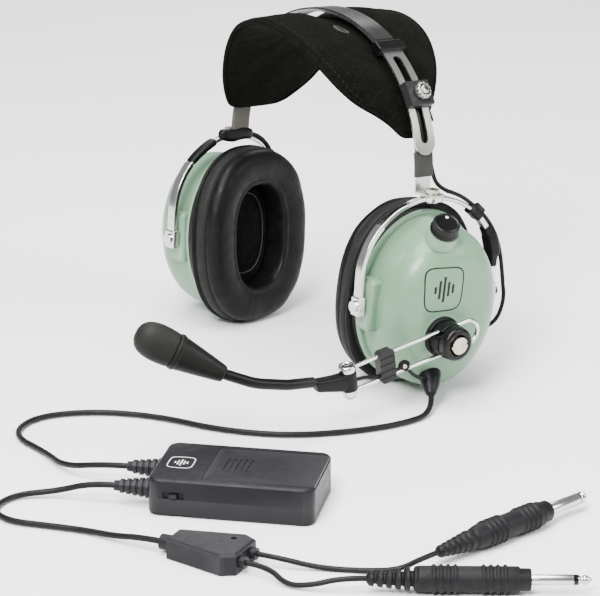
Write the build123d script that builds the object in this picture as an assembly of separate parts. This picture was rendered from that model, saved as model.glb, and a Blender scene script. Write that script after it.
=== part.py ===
from build123d import *
import os
import math

os.makedirs("parts", exist_ok=True)

# ---------------------------------------------------------------- frames
LEAN_DEG = -4.5      # the headset leans back a little as it stands
TOE = 6.5            # front edges of the cups point inward
TILT = 4.0           # lower edges of the cups point inward
PX, PZ = 91.0, 56.0  # yoke pin axis, from the middle and from the floor
DROP = -1.8          # how far the soft seals are pressed flat on the floor
HC = 120.0           # height of the centre of the headband circle

LEAN = Location((0, 0, PZ + DROP)) * Location((0, 0, 0), (LEAN_DEG, 0, 0)) * Location((0, 0, -PZ))
YOKE = LEAN * Location((PX, 0, PZ)) * Location((0, 0, 0), (0, 0, -TOE))
CUP = YOKE * Location((0, 0, 0), (0, TILT, 0))
BOOM = CUP * Location((29.5, -8, -13)) * Location((0, 0, 0), (14, 0, 0))
BOX = Location((160, -190, 0), (0, 0, 39))
SPLIT = Location((209, -249, 0), (0, 0, 25))
PLUG_A = Location((285, -168, 7.2), (0, 0, 92.5))
PLUG_B = Location((286, -215, 7.2), (0, 0, 49))


def solid_of(s):
    sols = s.solids()
    if len(sols) > 1:
        sols = sorted(sols, key=lambda q: q.volume, reverse=True)
        print("  more than one solid", [round(q.volume, 2) for q in sols])
    return sols[0]


def save(name, shape):
    s = solid_of(shape)
    s.label = name
    export_step(s, f"parts/{name}.step")
    bb = s.bounding_box()
    print(f"{name:28s} vol {s.volume:9.1f}  z {bb.min.Z:6.1f}..{bb.max.Z:6.1f}  x {bb.min.X:6.1f}..{bb.max.X:6.1f}  y {bb.min.Y:6.1f}..{bb.max.Y:6.1f}")
    return s


def both(name, shape_left):
    a = save("left_" + name, shape_left)
    b = save("right_" + name, mirror(a, about=Plane.YZ))
    return a, b


def xplane(x, y=0, z=0):
    return Plane(origin=(x, y, z), x_dir=(0, 1, 0), z_dir=(1, 0, 0))


def rod(p, q, r):
    a, b = Vector(*p), Vector(*q)
    d = b - a
    return extrude(Plane(origin=a, z_dir=d) * Circle(r), d.length)


def cone(p, q, r1, r2):
    a, b = Vector(*p), Vector(*q)
    d = b - a
    return loft([Plane(origin=a, z_dir=d) * Circle(r1), Plane(origin=b, z_dir=d) * Circle(r2)])


def soft(s, edges, radius):
    r = radius
    while r > 0.2:
        try:
            return fillet(edges, r)
        except Exception:
            r *= 0.75
    return s


def tube(name, pts, dia):
    """Straight runs joined by tangent arcs."""
    v = [Vector(*p) for p in pts]
    radii, total = [], 0.0
    runs = [(v[i + 1] - v[i]).length for i in range(len(v) - 1)]
    for i in range(1, len(v) - 1):
        a = (v[i] - v[i - 1]).normalized()
        b = (v[i + 1] - v[i]).normalized()
        turn = math.acos(max(-1, min(1, a.dot(b))))
        radii.append(0.45 * min(runs[i - 1], runs[i]) / math.tan(turn / 2))
    path = FilletPolyline(*[tuple(p) for p in pts], radius=radii)
    start = Wire(path.edges())
    length = start.length
    plane = Plane(origin=start @ 0, z_dir=start % 0)
    body = sweep(plane * Circle(dia / 2), path=start)
    want = math.pi * dia * dia / 4 * length
    print(f"   {name}: length {length:.1f} mm, dia {dia}, radii {[round(q, 1) for q in radii]}, volume {body.volume:.0f} / {want:.0f}")
    return body


def grip(r, length, teeth=24, depth=0.5):
    """A finger knob with cut ribs, axis +Z, base at the origin."""
    s = Cylinder(r, length, align=(Align.CENTER, Align.CENTER, Align.MIN))
    s = soft(s, s.edges().group_by(Axis.Z)[-1], 0.8)
    cut = Cylinder(depth, length * 3)
    for k in range(teeth):
        a = 2 * math.pi * k / teeth
        s -= Pos(r * math.cos(a), r * math.sin(a), length / 2) * cut
    return s


ABOVE = Pos(0, 0, 500) * Box(1600, 1600, 1000)

# ---------------------------------------------------------------- ear cups
ZC = -2.0   # cup centre below the pin axis

seal = extrude(xplane(-33, 0, ZC) * Ellipse(43, 54), 20) - extrude(xplane(-33, 0, ZC) * Ellipse(20.5, 31.5), 20)
front = seal.edges().group_by(Axis.X)[0]
seal = soft(seal, front, 8.5)
back = [e for e in seal.edges().group_by(Axis.X)[-1] if e.bounding_box().max.Z > 45]
seal = soft(seal, back, 3.5)
both("ear_seal", (CUP * seal) & ABOVE)

liner = extrude(xplane(-16.5, 0, ZC) * Ellipse(20, 31), 3.4)
both("liner_foam", CUP * liner)

baffle = extrude(xplane(-13, 0, ZC) * Ellipse(41, 51), 4) - extrude(xplane(-13, 0, ZC) * Circle(19), 4)
both("baffle_plate", CUP * baffle)

driver = extrude(xplane(-12.8, 0, ZC) * Circle(18.6), 3.8) + extrude(xplane(-9, 0, ZC) * Circle(22), 2.6) \
    + extrude(xplane(-6.4, 0, ZC) * Circle(14), 12)
both("speaker_driver", CUP * driver)


def dome_form(a, b, x0, x1, da, r):
    s = loft([xplane(x0, 0, ZC) * Ellipse(a, b), xplane(x1, 0, ZC) * Ellipse(a - da, b - da)])
    return soft(s, s.edges().group_by(Axis.X)[-1], r)


outer = dome_form(39, 49, -9, 29, 3.5, 19)
inner = dome_form(36.4, 46.4, -9, 26.4, 3.5, 17)
lip = extrude(xplane(-9, 0, ZC) * Ellipse(41, 51), 3)
lip = soft(lip, lip.edges().group_by(Axis.X)[-1], 1.4)
shell = outer + lip
for s in (-1, 1):
    boss = Pos(0, s * 38.2, -1) * Box(13, 8.4, 30)
    boss = soft(boss, boss.edges(), 2.0)
    shell += boss
shell -= inner
for s in (-1, 1):
    shell -= rod((0, s * 36, 0), (0, s * 43, 0), 1.56)

# the left dome carries the volume control, the boom seat and the cable exit
VOL = Location((18.5, -8, 39.5)) * Location((0, 0, 0), (0, 28, 0)) * Location((0, 0, 0), (8, 0, 0))
left_dome = shell + (VOL * Cylinder(9.2, 7.5, align=(Align.CENTER, Align.CENTER, Align.MIN)) - inner)
left_dome += extrude(xplane(24, -8, -13) * Circle(12.6), 5.5) - inner
left_dome += rod((3.0, 30, -22), (3.8, 38.6, -20.6), 2.6) - inner
left_dome -= VOL * Pos(0, 0, -12) * Cylinder(3.6, 40)
left_dome -= extrude(xplane(20, -8, -13) * Circle(1.55), 12)

left_world = CUP * left_dome
GL_A, GL_B = (110.0, -13.0, 17.5), (123.0, -23.5, 8.5)   # cable exit, root and tip
gdir = (Vector(*GL_B) - Vector(*GL_A)).normalized()
g_in = Vector(*GL_A) - gdir * 6
left_world -= rod(tuple(g_in), tuple(Vector(*GL_A) + gdir * 6), 4.25)
left_world -= rod(tuple(Vector(*GL_A) + gdir * 3.97), tuple(Vector(*GL_A) + gdir * 14), 5.7)
save("left_dome_shell", left_world)
right_dome = shell
save("right_dome_shell", mirror(solid_of(CUP * right_dome), about=Plane.YZ))

gland = rod(tuple(g_in), tuple(Vector(*GL_A) + gdir * 4), 4.2)
gland += cone(tuple(Vector(*GL_A) + gdir * 4), GL_B, 5.6, 3.4)
for k in range(3):
    q = Vector(*GL_A) + gdir * (6.5 + 3.6 * k)
    gland += rod(tuple(q), tuple(q + gdir * 1.6), 5.5 - 0.55 * k)
save("main_strain_relief", gland)

knob = grip(8.2, 7.0, 20, 0.5) + Pos(0, 0, -11) * Cylinder(3.5, 12, align=(Align.CENTER, Align.CENTER, Align.MIN))
knob -= Pos(0, 5.2, 7.0) * Cylinder(0.9, 1.0)
save("volume_knob", CUP * VOL * Pos(0, 0, 7.7) * knob)

# ---------------------------------------------------------------- boom
def bx(x0, x1, y, z, r):
    return extrude(xplane(x0, y, z) * Circle(r), x1 - x0)


disc = bx(0.15, 3, 0, 0, 11.5)
hub = bx(2.8, 10.6, 0, 0, 10.2)
hub = soft(hub, hub.edges().group_by(Axis.X)[-1], 0.8) + soft(disc, disc.edges().group_by(Axis.X)[-1], 1.0)
for s in (-1, 1):
    hub -= rod((7, -20, 7 * s), (7, 20, 7 * s), 1.25)
    hub -= Pos(9.5, 0, 7 * s) * Box(5, 40, 2.5)
hub -= bx(-1, 11, 0, 0, 1.55)
save("boom_pivot_hub", BOOM * hub)

cap = BOOM * (Location((10.8, 0, 0), (0, 90, 0)) * grip(9.8, 6.4, 22, 0.6))
cap -= BOOM * bx(9, 19, 0, 0, 1.55)
cap -= BOOM * bx(15.6, 19, 0, 0, 5.2)
save("boom_clamp_knob", cap)

screw = bx(-7.5, 16, 0, 0, 1.5) + bx(-7.5, -5.0, 0, 0, 3.4) + bx(15.8, 18.2, 0, 0, 5.0)
screw -= Pos(18.2, 0, 0) * Box(2, 12, 1.4)
save("boom_pivot_screw", BOOM * screw)

WIRE = 1.2
YB = -68.0
wpath = Polyline((7, YB + 2.2, 7), (7, 13, 7)) + ThreePointArc((7, 13, 7), (7, 20, 0), (7, 13, -7)) + Polyline((7, 13, -7), (7, YB + 2.2, -7))
wires = sweep(Plane(origin=(7, YB + 2.2, 7), z_dir=(0, 1, 0)) * Circle(WIRE), path=Wire(wpath.edges()))
for s in (-1, 1):
    eye = Pos(7, YB, 7 * s) * (Cylinder(3.7, 2.8) - Cylinder(1.75, 4))
    wires += eye
wires -= Pos(7, YB, 0) * Cylinder(1.75, 20)
save("boom_wires", BOOM * wires)

clip = Pos(7, -43, 0) * Box(5.4, 10, 19)
clip = soft(clip, clip.edges().filter_by(Axis.X), 2.2)
for s in (-1, 1):
    clip -= rod((7, -60, 7 * s), (7, -20, 7 * s), 1.25)
for k in range(4):
    clip -= Pos(9.9, -43, -6 + 4 * k) * Box(1.2, 12, 1.3)
save("boom_slider_clip", BOOM * clip)

brk = Pos(7, YB, 0) * Cylinder(4.6, 11) + Pos(7, YB - 8, 1.5) * Box(6.4, 16, 8)
brk = brk + (Location((7, YB - 14, 3), (-14, 0, 0)) * Box(8.6, 14, 9))
brk -= Pos(7, YB, 0) * Cylinder(1.75, 30)
save("mic_bracket", BOOM * brk)

ths = Pos(7, YB, 0) * (Pos(0, 0, -1.4) * Cylinder(1.6, 23) + Pos(0, 0, 9.6) * Cylinder(3.6, 2.2))
ths += Location((7, YB, 10.6)) * grip(4.4, 4.2, 16, 0.35)
ths += Pos(7, YB, -10.9) * extrude(RegularPolygon(3.9, 6), 2.3, both=True)
save("mic_bracket_screw", BOOM * ths)

# gooseneck, in the cup frame
G = [(36.6, -97.5, -27.6), (36.5, -114, -27.2), (35, -134, -24.5), (30, -152, -18.5), (22.5, -165.5, -12.1)]
gpath = FilletPolyline(*G, radius=[40, 40, 28])
gw = Wire(gpath.edges())
neck = sweep(Plane(origin=gw @ 0, z_dir=gw % 0) * Circle(3.0), path=gw)
print("gooseneck length", round(gw.length, 1), "start", gw @ 0, "dir", gw % 0)
save("gooseneck", CUP * neck)
gend = Vector(*G[-1])
gd = (Vector(*G[-1]) - Vector(*G[-2])).normalized()
boot = cone(tuple(gend - gd * 12), tuple(gend + gd * 9), 5.0, 8.6)
boot += rod(tuple(gend + gd * 9), tuple(gend + gd * 11.5), 9.3)
boot -= rod(tuple(gend - gd * 13), tuple(gend), 3.04)
save("mic_boot", CUP * boot)
mc = gend + gd * 21.5
head = Plane(origin=gend + gd * 11.5, x_dir=(1, 0, 0), z_dir=gd).location * Pos(0, 0, 11) * Box(17, 19, 22)
head = soft(head, head.edges(), 6.5)
save("mic_head", CUP * head)

# ---------------------------------------------------------------- yokes
RY, ZA, HA = 46.0, 15.0, 42.2      # half width, height of the straight leg, height of the arch


def arch(a0, a1):
    """Part of the stirrup's elliptical arch, 0 at the rear leg and 180 at the front one."""
    n = max(3, int(abs(a1 - a0) / 12))
    pts, t = [], []
    for k in range(n + 1):
        a = math.radians(a0 + (a1 - a0) * k / n)
        pts.append((0, RY * math.cos(a), ZA + HA * math.sin(a)))
    for a in (a0, a1):
        a = math.radians(a)
        t.append((0, -RY * math.sin(a), HA * math.cos(a)))
    return Wire(Spline(*pts, tangents=t).edges())


def bar(a0, a1, w, h, r=0.8):
    p = arch(a0, a1)
    return sweep(Plane(origin=p @ 0, z_dir=p % 0, x_dir=(1, 0, 0)) * RectangleRounded(w, h, r), path=p)


def leg_bar(z0, a1, w, h, r=0.8):
    """The rear leg from a height up to an angle on the arch, in one sweep."""
    p = Wire(Line((0, RY, z0), (0, RY, ZA)).edges() + arch(0, a1).edges())
    return sweep(Plane(origin=p @ 0, z_dir=(0, 0, 1), x_dir=(1, 0, 0)) * RectangleRounded(w, h, r), path=p)


thick = solid_of(leg_bar(-5, 42, 5.8, 3.4))
yoke = bar(30, 150, 5.0, 2.4) + thick + mirror(thick, about=Plane.XZ)
for s in (-1, 1):
    block = Pos(0, s * 46.0, -1.5) * Box(8, 4.6, 11)
    yoke += soft(block, block.edges(), 0.8)
    yoke += rod((0, s * 37.0, 0), (0, s * 46, 0), 1.5)
    yoke += rod((0, s * 47, -1.5), (0, s * 50.2, -1.5), 3.2)
TOPZ = ZA + HA
yoke += Pos(0, 0, TOPZ) * Cylinder(6.4, 2.4)
yoke -= Pos(0, 0, TOPZ) * Cylinder(2.05, 8)
both("yoke", YOKE * yoke)

swv = Pos(0, 0, TOPZ) * Cylinder(1.95, 5.4) + Pos(0, 0, TOPZ - 2.0) * Cylinder(3.4, 1.2) + Pos(0, 0, TOPZ + 3.85) * Cylinder(3.9, 2.5)
swv = swv - Pos(0, 0, TOPZ + 5.1) * Box(9, 1.1, 1.4)
both("swivel_screw", YOKE * swv)

# black sleeves on the yoke legs
sleeve = solid_of(leg_bar(5.2, 26, 8.4, 6.0, 1.6)) - solid_of(leg_bar(0, 34, 5.9, 3.5, 0.8))
save("left_yoke_sleeve", YOKE * sleeve)
far = bar(116, 135, 8.0, 5.4, 1.6) - bar(110, 141, 5.5, 2.9, 0.8)
save("right_yoke_sleeve", mirror(solid_of(YOKE * far), about=Plane.YZ))

# ---------------------------------------------------------------- headband
def sector(r0, r1, a0, a1, width, y=0):
    """Part of a ring about the headband centre, angles from the left side."""
    cyl = Cylinder(r1, width) - Cylinder(r0, width * 2)
    big = 200
    n = 12
    pts = [(0, 0)] + [(big * math.cos(math.radians(a0 + (a1 - a0) * k / n)), big * math.sin(math.radians(a0 + (a1 - a0) * k / n))) for k in range(n + 1)]
    wedge = extrude(Polygon(*pts, align=None), width, both=True)
    s = cyl & wedge
    return Location((0, y, HC), (90, 0, 0)) * s


def at(a, r, y=0):
    """Frame on the headband: X outward, Y along the width, Z along the band."""
    t = math.radians(a)
    return Location((r * math.cos(t), y, HC + r * math.sin(t)), (0, -a, 0))


RI = 82.0
TABZ = PZ + TOPZ + 1.2     # top of the yoke eye
inner_strap = sector(RI, RI + 1, -1.0, 40, 11)
low = Pos(RI + 0.5, 0, (HC + TABZ) / 2) * Box(1, 11, HC - TABZ - 0.2)
tab = Pos((RI + PX + 7) / 2, 0, TABZ + 0.7) * Box(PX + 7 - RI, 11, 1.2)
tab = fillet(tab.edges().filter_by(Axis.Z).group_by(Axis.X)[-1], 5.2)
strap = inner_strap + low + tab + Pos(RI + 0.5, 0, TABZ + 0.7) * Box(1, 11, 1.2)
strap -= Pos(PX, 0, TABZ) * Cylinder(2.05, 10)
A_CL = 34
stud = at(A_CL, RI) * Location((0, 0, 0), (0, 90, 0)) * Pos(0, 0, 0.05) * Cylinder(1.4, 12.6, align=(Align.CENTER, Align.CENTER, Align.MIN))
stud += at(A_CL, RI) * Location((0, 0, 0), (0, 90, 0)) * Pos(0, 0, -0.95) * Cylinder(2.6, 0.95, align=(Align.CENTER, Align.CENTER, Align.MIN))
strap = strap + stud
both("inner_strap", LEAN * strap)

slv = sector(RI - 1.2, RI + 1.9, 0.5, 9.5, 16.2, 1.2) - sector(RI - 0.02, RI + 1.02, 0, 12, 11.05)
both("strap_sleeve", LEAN * slv)

# outer slotted strap, one piece over the crown
RO = RI + 2.2
band = sector(RO, RO + 1.2, 11, 169, 15)
for a in (11, 169):
    sgn = 1 if a < 90 else -1
    keep = at(a + sgn * 5.05, RO) * Location((0, 0, 0), (0, 90, 0)) * Cylinder(7.5, 12)
    corner = sector(RO - 1, RO + 3, min(a, a + sgn * 5.0), max(a, a + sgn * 5.0), 20) - keep
    band -= corner
for a0, a1 in ((15.5, 52), (128, 164.5)):
    slot = sector(RO - 1, RO + 3, a0 + 1.8, a1 - 1.8, 5.5)
    band -= slot
    for a in (a0 + 1.8, a1 - 1.8):
        band -= at(a, RO + 0.5) * Location((0, 0, 0), (0, 90, 0)) * Cylinder(2.75, 6)
save("slotted_head_strap", LEAN * band)

cover = sector(RO + 1.22, RO + 2.2, 61, 119, 14.4)
save("crown_cover", LEAN * cover)


def keeper(a):
    blk = at(a, RO + 0.6) * Box(6.4, 20, 7)
    blk = soft(blk, blk.edges().filter_by(lambda e: True), 1.0)
    return blk - sector(RO - 0.02, RO + 1.22, a - 8, a + 8, 15.05)


k_left = save("left_keeper", LEAN * keeper(57))
save("right_keeper", mirror(k_left, about=Plane.YZ))


def clamp_block(a):
    blk = at(a, RO + 1.25 + 2.6) * Box(5.2, 17, 14.5)
    blk = soft(blk, blk.edges().group_by(Axis.X)[-1], 1.2)
    tongue = at(a, (RO + 1.25 + RI + 1.05) / 2) * Box(RO + 0.3 - RI, 5.2, 9)
    s = blk - sector(RO - 4, RO + 1.25, a - 12, a + 12, 30)
    s += sector(RI + 1.02, RO + 2.2, a - 3.4, a + 3.4, 5.2)
    s -= at(a, RO) * Location((0, 0, 0), (0, 90, 0)) * Cylinder(1.7, 30)
    return s


cb = clamp_block(A_CL)
both("clamp_block", LEAN * cb)
nut = at(A_CL, RO + 6.6) * Location((0, 0, 0), (0, 90, 0)) * grip(5.2, 5.4, 20, 0.4)
nut -= at(A_CL, RO) * Location((0, 0, 0), (0, 90, 0)) * Cylinder(1.45, 30)
both("clamp_nut", LEAN * nut)

# head pad: a soft saddle under the band, wide at the crown, set a little askew, with its edges turned up at the top
def pad_section(a, wf, wr, top, bot, drop_f, drop_r):
    o = at(a, 0)
    outer_pts = [(top - drop_f, -wf), (top - drop_f * 0.38, -wf * 0.62), (top, -wf * 0.22), (top, wr * 0.22), (top - drop_r * 0.38, wr * 0.62), (top - drop_r, wr)]
    inner_pts = [(bot - drop_r, wr * 0.98), (bot - drop_r * 0.38, wr * 0.6), (bot, 0), (bot - drop_f * 0.38, -wf * 0.6), (bot - drop_f, -wf * 0.98)]
    pl = Plane(o)
    pl = Plane(origin=pl.origin, x_dir=(math.cos(math.radians(a)), 0, math.sin(math.radians(a))), z_dir=Vector(math.cos(math.radians(a)), 0, math.sin(math.radians(a))).cross(Vector(0, 1, 0)))
    e1 = Spline(*outer_pts)
    e2 = Line(outer_pts[-1], inner_pts[0])
    e3 = Spline(*inner_pts)
    e4 = Line(inner_pts[-1], outer_pts[0])
    return pl * make_face([e1.edge(), e2.edge(), e3.edge(), e4.edge()])


secs = []
for a, wf, wr, df, dr in ((14, 9, 9, 0.4, 0.4), (24, 20, 12, 0.4, 0.4), (34, 38, 21, 0.4, 0.2), (48, 48, 32, 0.2, -0.8), (68, 53, 42, -1.0, -2.2),
                          (90, 52, 48, -2.4, -2.8), (112, 46, 53, -2.8, -2.4), (132, 36, 54, -1.4, -1.0), (146, 28, 52, -0.2, 0.2),
                          (157, 19, 42, 0.4, 0.4), (166, 11, 22, 0.4, 0.4)):
    edge = 1 - abs(a - 90) / 90
    secs.append(pad_section(a, wf, wr, 80.4, 76.0 - 2.4 * min(1, edge * 1.6), df, dr))
pad = loft(secs)
save("head_pad", LEAN * pad)

# ---------------------------------------------------------------- crossover cable
def up(x, y, z):
    """A point given with the headset upright, moved to where the leaning headset has it."""
    q = LEAN * Location((x, y, z))
    return tuple(q.position)


def by_arm(a, off, x=0.0):
    """A point beside the stirrup, at an angle on its arch and a distance outside its centre line."""
    t = math.radians(a)
    ny, nz = math.cos(t) / RY, math.sin(t) / HA
    m = math.hypot(ny, nz)
    q = YOKE * Location((x, RY * math.cos(t) + off * ny / m, ZA + HA * math.sin(t) + off * nz / m))
    return tuple(q.position)


X_DIA = 2.4
xl = [up(86.6, 15.4, 114.6), up(90.4, 21.0, 113.4), by_arm(50, 3.0), by_arm(36, 3.9, 0.3), by_arm(20, 5.2, 0.6), by_arm(3, 6.0, 2.0), tuple((YOKE * Location((5.2, 52.2, 2.0))).position)]
save("left_crossover_cable", tube("left_crossover_cable", xl, X_DIA))
bore = tube("clip_bore", xl, X_DIA + 0.04)
aim = Vector(*xl[3]) - Vector(*xl[2])
clip1 = Plane(origin=Vector(*xl[2]) + aim * 0.25, z_dir=aim).location * Cylinder(2.9, 5.6)
clip1 = (YOKE * bar(43, 53, 8.0, 5.2, 1.4)) + clip1
clip1 = clip1 - (YOKE * bar(36, 60, 5.04, 2.44, 0.8)) - bore
save("left_cable_clip", clip1)

# ---------------------------------------------------------------- control box
BL, BW, BH, WALL = 86.0, 54.0, 20.0, 1.8
lower = extrude(RectangleRounded(BL, BW, 6), 9.5)
lower = soft(lower, lower.edges().group_by(Axis.Z)[0], 1.4)
lower -= Pos(0, 0, WALL) * extrude(RectangleRounded(BL - 2 * WALL, BW - 2 * WALL, 4.4), 12)
lower -= Pos(-35, 0, 0) * Box(30, 80, 2.4)
lower += Pos(-30.5, 0, 1.2 + 0.8) * Box(23, 46, 1.6)
for x in (-13.4, 39.0):
    lower += Pos(x, 0, WALL + 3.4) * Box(1.4, 30, 7.2)
upper = Pos(0, 0, 9.5) * extrude(RectangleRounded(BL, BW, 6), BH - 9.5)
upper = soft(upper, upper.edges().group_by(Axis.Z)[-1], 2.0)
upper -= Pos(0, 0, 9.0) * extrude(RectangleRounded(BL - 2 * WALL, BW - 2 * WALL, 4.4), BH - 9.0 - WALL - 2.2)
upper -= Pos(14.6 + 5, 0, BH - 0.9) * Box(70.2, 44.2, 2.2)
upper -= Pos(12.8, 0, BH - 3) * Box(54, 33, 8)
for y, s in ((13.5, 1), (-13.5, -1)):
    hole = rod((-50, y, 9.5), (-36, y, 9.5), 3.25)
    lower -= hole
    upper -= hole
slot = Pos(-29, -BW / 2, 11.6) * Box(11, 2.4, 3.4)
upper -= slot
upper -= Pos(-29, -BW / 2, 11.6) * Box(6.2, 8, 2.0)
save("box_lower_shell", BOX * lower)
save("box_upper_shell", BOX * upper)
door = Pos(13.6, 0, BH - 1.0) * Box(57.8, 43.6, 1.8)
door = soft(door, door.edges().filter_by(Axis.Z), 1.5)
for k in range(5):
    door -= Pos(-7 + 3.0 * k, 0, BH - 0.1) * Box(1.2, 16, 0.8)
save("battery_door", BOX * door)
sw = Pos(-29, -BW / 2 + 1.0, 11.6) * Box(4.0, 5.0, 1.8) + Pos(-29, -BW / 2 + 0.1, 11.6) * Box(3.2, 2.6, 1.8) + Pos(-29, -BW / 2 + 2.6, 11.6) * Box(9, 1.2, 4)
save("power_switch", BOX * sw)
for y, s, tag in ((7.4, 1, "one"), (-7.4, -1, "two")):
    c = rod((-12.4, y, WALL + 7.15), (36.6, y, WALL + 7.15), 7.1)
    c = c + (rod((36.5, y, WALL + 7.15), (38.0, y, WALL + 7.15), 2.7) if s > 0 else rod((-12.3, y, WALL + 7.15), (-12.7, y, WALL + 7.15), 5.0))
    save(f"battery_cell_{tag}", BOX * c)
for y, tag in ((13.5, "upper"), (-13.5, "lower")):
    r = rod((-40, y, 9.5), (-44, y, 9.5), 3.2) + cone((-43, y, 9.5), (-63, y, 9.5), 4.6, 2.6)
    for k in range(5):
        x = -44.2 - 3.4 * k
        r += rod((x, y, 9.5), (x - 1.9, y, 9.5), 5.4 - 0.42 * k)
    save(f"box_relief_{tag}", BOX * r)

# ---------------------------------------------------------------- splitter
sp = extrude(Polygon((-20, -7), (13, -15), (20, -11), (20, 11), (13, 15), (-20, 7), align=None), 11)
sp = soft(sp, sp.edges().group_by(Axis.Z)[-1], 1.6)
sp = soft(sp, sp.edges().group_by(Axis.Z)[0], 0.8)
sp += rod((-19, 0, 5.5), (-26, 0, 5.5), 4.0)
for y in (-6, 6):
    sp += rod((19, y, 5.5), (23, y, 5.5), 3.0)
sp -= Pos(10, 7, 0) * Cylinder(1.6, 40)
save("cable_splitter", SPLIT * sp)

# ---------------------------------------------------------------- plugs
def plug(frame, r, tag, ribs_from, tip):
    h = cone((0, 0, 0), (22, 0, 0), 2.6, 4.4)
    for k in range(5):
        h += rod((2 + 3.9 * k, 0, 0), (4.2 + 3.9 * k, 0, 0), 3.7 + 0.45 * k)
    body = rod((22, 0, 0), (76, 0, 0), 6.6)
    body = soft(body, body.edges().group_by(Axis.X)[0] + body.edges().group_by(Axis.X)[-1], 1.2)
    h += body
    h += rod((70, 0, 0), (77.5, 0, 0), 5.4)
    for x0 in ribs_from:
        for k in range(4):
            h -= rod((x0 + 2.6 * k, 0, 0), (x0 + 1.2 + 2.6 * k, 0, 0), 9) - rod((x0 - 1, 0, 0), (x0 + 14, 0, 0), 6.0)
    h -= rod((70, 0, 0), (80, 0, 0), 1.5)
    save(f"plug_{tag}_handle", frame * h)
    f = rod((77.5, 0, 0), (106 - tip, 0, 0), r) + rod((71, 0, 0), (78, 0, 0), 1.45)
    f += cone((106 - tip, 0, 0), (106 - tip + 1.6, 0, 0), r * 0.78, r * 0.7)
    f += cone((106 - tip + 1.6, 0, 0), (106 - 1.2, 0, 0), r, r * 0.45)
    f += cone((106 - 1.2, 0, 0), (106, 0, 0), r * 0.45, r * 0.2)
    save(f"plug_{tag}_finger", frame * f)


plug(PLUG_A, 3.175, "phones", (26, 58), 6.0)
plug(PLUG_B, 2.615, "microphone", (28, 60), 5.0)

# ---------------------------------------------------------------- cords
def on(frame, x, y, z):
    return tuple((frame * Location((x, y, z))).position)


CORD, LEAD = 3.2, 2.8
e = Vector(*GL_B)
main = [tuple(e + gdir * 1.7), tuple(e + gdir * ((GL_B[2] - 2.2) / -gdir.Z)), (134, -54, 2.1), (125, -84, 2.1), (107, -115, 2.1), (76, -138, 2.1), (39, -150, 2.1), (9, -172, 2.1), (-6, -203, 2.1), (9, -229, 2.1), (44, -230, 2.1), (70, -237, 4.0), on(BOX, -76, 13.5, 9.5), on(BOX, -63, 13.5, 9.5)]
save("main_cable", tube("main_cable", main, CORD))
second = [on(BOX, -63, -13.5, 9.5), on(BOX, -76, -13.5, 9.5), (96, -258.5, 4.0), (82, -277, 2.1), (90, -296, 2.1), (108, -299, 2.1), (126, -287, 2.1), (144, -275.5, 2.1), (160, -270.5, 3.0), on(SPLIT, -38, 0, 5.5), on(SPLIT, -26, 0, 5.5)]
save("second_cable", tube("second_cable", second, CORD))
la = [on(SPLIT, 23, 6, 5.5), on(SPLIT, 35, 6, 5.5), (257, -221, 1.5), (276, -206, 1.5), (285.6, -194, 4.0), on(PLUG_A, -12, 0, 0), on(PLUG_A, 0, 0, 0)]
save("phones_lead", tube("phones_lead", la, LEAD))
lb = [on(SPLIT, 23, -6, 5.5), on(SPLIT, 35, -6, 5.5), (258, -241, 1.5), (269, -234, 3.4), on(PLUG_B, -12, 0, 0), on(PLUG_B, 0, 0, 0)]
save("microphone_lead", tube("microphone_lead", lb, LEAD))
print("files", len(os.listdir("parts")))
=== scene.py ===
import math

import bmesh
import bpy
import numpy as np
from mathutils import Matrix, Vector, noise
from mathutils.bvhtree import BVHTree


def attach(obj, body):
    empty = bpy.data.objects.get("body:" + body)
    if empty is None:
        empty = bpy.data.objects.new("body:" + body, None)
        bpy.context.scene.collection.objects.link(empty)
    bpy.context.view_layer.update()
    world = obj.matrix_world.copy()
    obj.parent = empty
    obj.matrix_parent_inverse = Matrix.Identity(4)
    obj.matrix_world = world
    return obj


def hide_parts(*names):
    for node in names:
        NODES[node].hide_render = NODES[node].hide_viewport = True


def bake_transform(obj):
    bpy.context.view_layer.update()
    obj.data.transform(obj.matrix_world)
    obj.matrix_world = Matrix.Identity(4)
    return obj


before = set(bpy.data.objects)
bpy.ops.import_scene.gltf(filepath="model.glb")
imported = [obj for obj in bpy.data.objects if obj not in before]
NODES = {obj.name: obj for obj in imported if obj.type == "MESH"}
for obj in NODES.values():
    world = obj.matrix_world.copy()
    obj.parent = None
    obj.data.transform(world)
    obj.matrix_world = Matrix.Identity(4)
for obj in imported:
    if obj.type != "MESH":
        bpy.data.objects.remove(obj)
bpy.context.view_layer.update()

MM = 0.001


# ------------------------------------------------------------ frames, as in the CAD source
def shift(x, y, z):
    return Matrix.Translation((x * MM, y * MM, z * MM))


def turn(axis, degrees):
    return Matrix.Rotation(math.radians(degrees), 4, axis)


LEAN = shift(0, 0, 54.2) @ turn("X", -4.5) @ shift(0, 0, -56)
YOKE = LEAN @ shift(91, 0, 56) @ turn("Z", -6.5)
CUP = YOKE @ turn("Y", 4)
BOOM = CUP @ shift(29.5, -8, -13) @ turn("X", 14)
BOX = shift(160, -190, 0) @ turn("Z", 39)
SPLIT = shift(209, -249, 0) @ turn("Z", 25)
PLUG_A = shift(285, -168, 7.2) @ turn("Z", 92.5)
PLUG_B = shift(286, -215, 7.2) @ turn("Z", 49)
VOLUME = CUP @ shift(18.5, -8, 39.5) @ turn("Y", 28) @ turn("X", 8)
MIRROR = Matrix.Diagonal((-1, 1, 1, 1))
CUP_Z = -2.0          # cup centre below the pin axis
BAND_Z = 120.0        # height of the headband circle's centre
YB = -68.0            # bracket bolt on the boom


def spot(m, x, y, z):
    return m @ Vector((x * MM, y * MM, z * MM))


def route(m, *rows):
    return [spot(m, *row) for row in rows]


def smooth(t):
    t = min(1.0, max(0.0, t))
    return t * t * (3 - 2 * t)


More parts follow.
